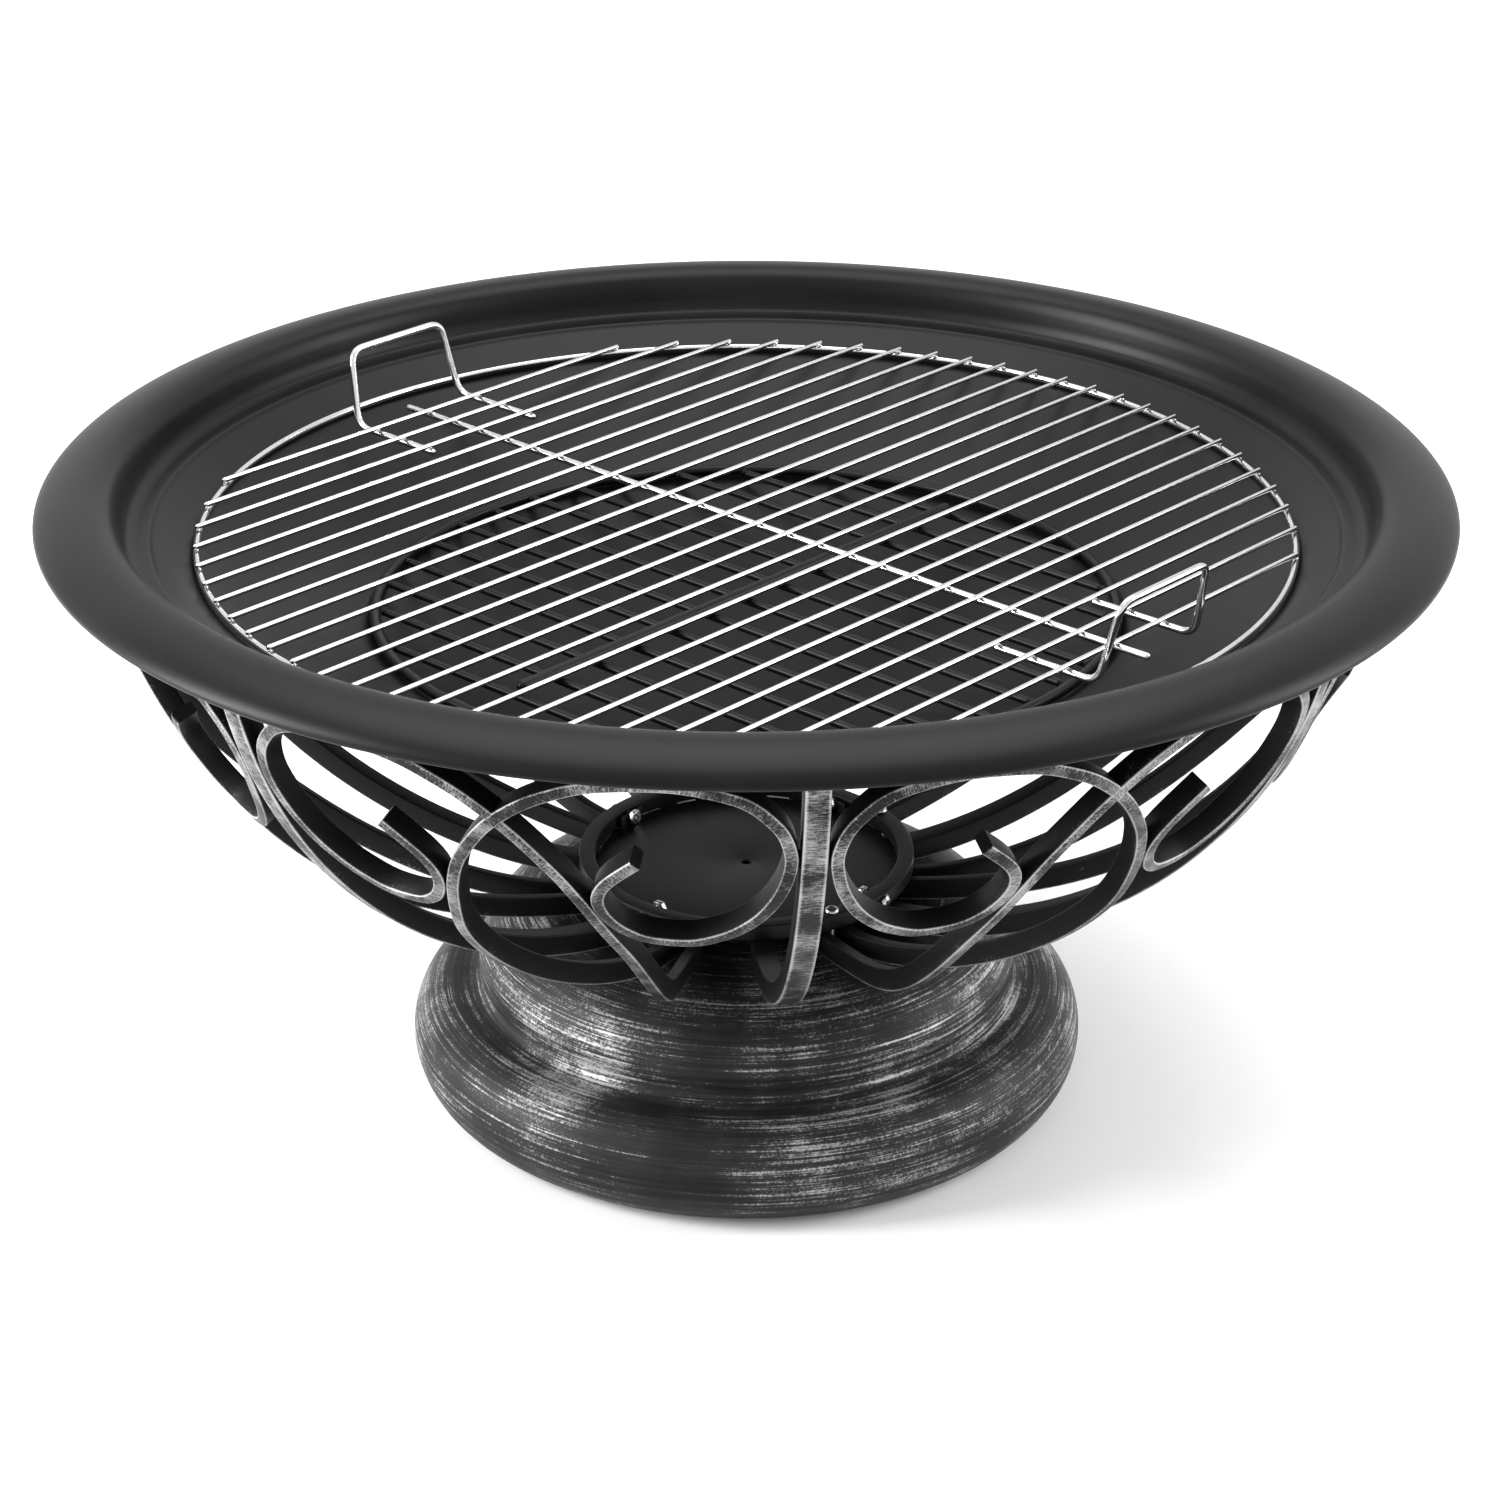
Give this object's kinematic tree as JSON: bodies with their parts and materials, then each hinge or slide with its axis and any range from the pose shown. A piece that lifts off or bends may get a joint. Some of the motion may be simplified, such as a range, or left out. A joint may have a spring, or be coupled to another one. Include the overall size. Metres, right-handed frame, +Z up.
{
  "type": "fire pit with grate",
  "caption": "Round steel fire bowl with a lift-out cooking grate and a charcoal grate, resting in a scrolled bar basket on a turned pedestal.",
  "frame": {"origin": "centre of the pedestal's floor face, under the bowl's axis", "axes": "+Z up along the axis of the bowl and pedestal; -Y is the front, where rib_1 stands; +X is the viewer's right"},
  "size_m": [0.76, 0.76, 0.3799],
  "materials": {
    "bowl_paint": "black satin heat-resistant powder coat",
    "antique_bar": "black paint with silver dry-brushed outer edges",
    "black_bar": "satin black paint",
    "pedestal_paint": "black paint with silver dry-brushed streaks round it",
    "plate_paint": "smooth satin black",
    "chrome_wire": "bright chrome-plated wire",
    "black_wire": "black enamelled wire",
    "zinc": "bright zinc-plated steel"
  },
  "bodies": {
    "stand": {"pedestal": "pedestal_paint", "base_plate": "plate_paint", "ring_bolt_1": "zinc", "ring_nut_1": "zinc", "ring_bolt_2": "zinc", "ring_nut_2": "zinc", "ring_bolt_3": "zinc", "ring_nut_3": "zinc", "ring_bolt_4": "zinc", "ring_nut_4": "zinc", "ring_screw_1": "zinc", "ring_screw_2": "zinc", "ring_screw_3": "zinc", "ring_screw_4": "zinc", "rib_1": "antique_bar", "crozier_1_right": "antique_bar", "crozier_1_left": "antique_bar", "rib_2": "antique_bar", "crozier_2_right": "antique_bar", "crozier_2_left": "antique_bar", "rib_3": "antique_bar", "crozier_3_right": "antique_bar", "crozier_3_left": "antique_bar", "rib_4": "antique_bar", "crozier_4_right": "antique_bar", "crozier_4_left": "antique_bar", "rib_5": "antique_bar", "crozier_5_right": "antique_bar", "crozier_5_left": "antique_bar", "rib_6": "antique_bar", "crozier_6_right": "antique_bar", "crozier_6_left": "antique_bar", "rib_7": "antique_bar", "crozier_7_right": "antique_bar", "crozier_7_left": "antique_bar", "top_hoop": "black_bar", "bottom_ring": "black_bar"},
    "bowl": {"fire_bowl": "bowl_paint"},
    "cooking_grate": {"cooking_ring": "chrome_wire", "cooking_rods": "chrome_wire", "handle_left": "chrome_wire", "handle_right": "chrome_wire"},
    "charcoal_grate": {"charcoal_ring": "black_wire", "charcoal_rods": "black_wire"}
  },
  "joints": [
    {"name": "bowl_lift", "type": "slide", "parent": "stand", "child": "bowl", "axis": [0, 0, 1], "range_m": [0, 0.3]},
    {"name": "cooking_grate_lift", "type": "slide", "parent": "bowl", "child": "cooking_grate", "axis": [0, 0, 1], "range_m": [0, 0.3]},
    {"name": "charcoal_grate_lift", "type": "slide", "parent": "bowl", "child": "charcoal_grate", "axis": [0, 0, 1], "range_m": [0, 0.033]}
  ]
}
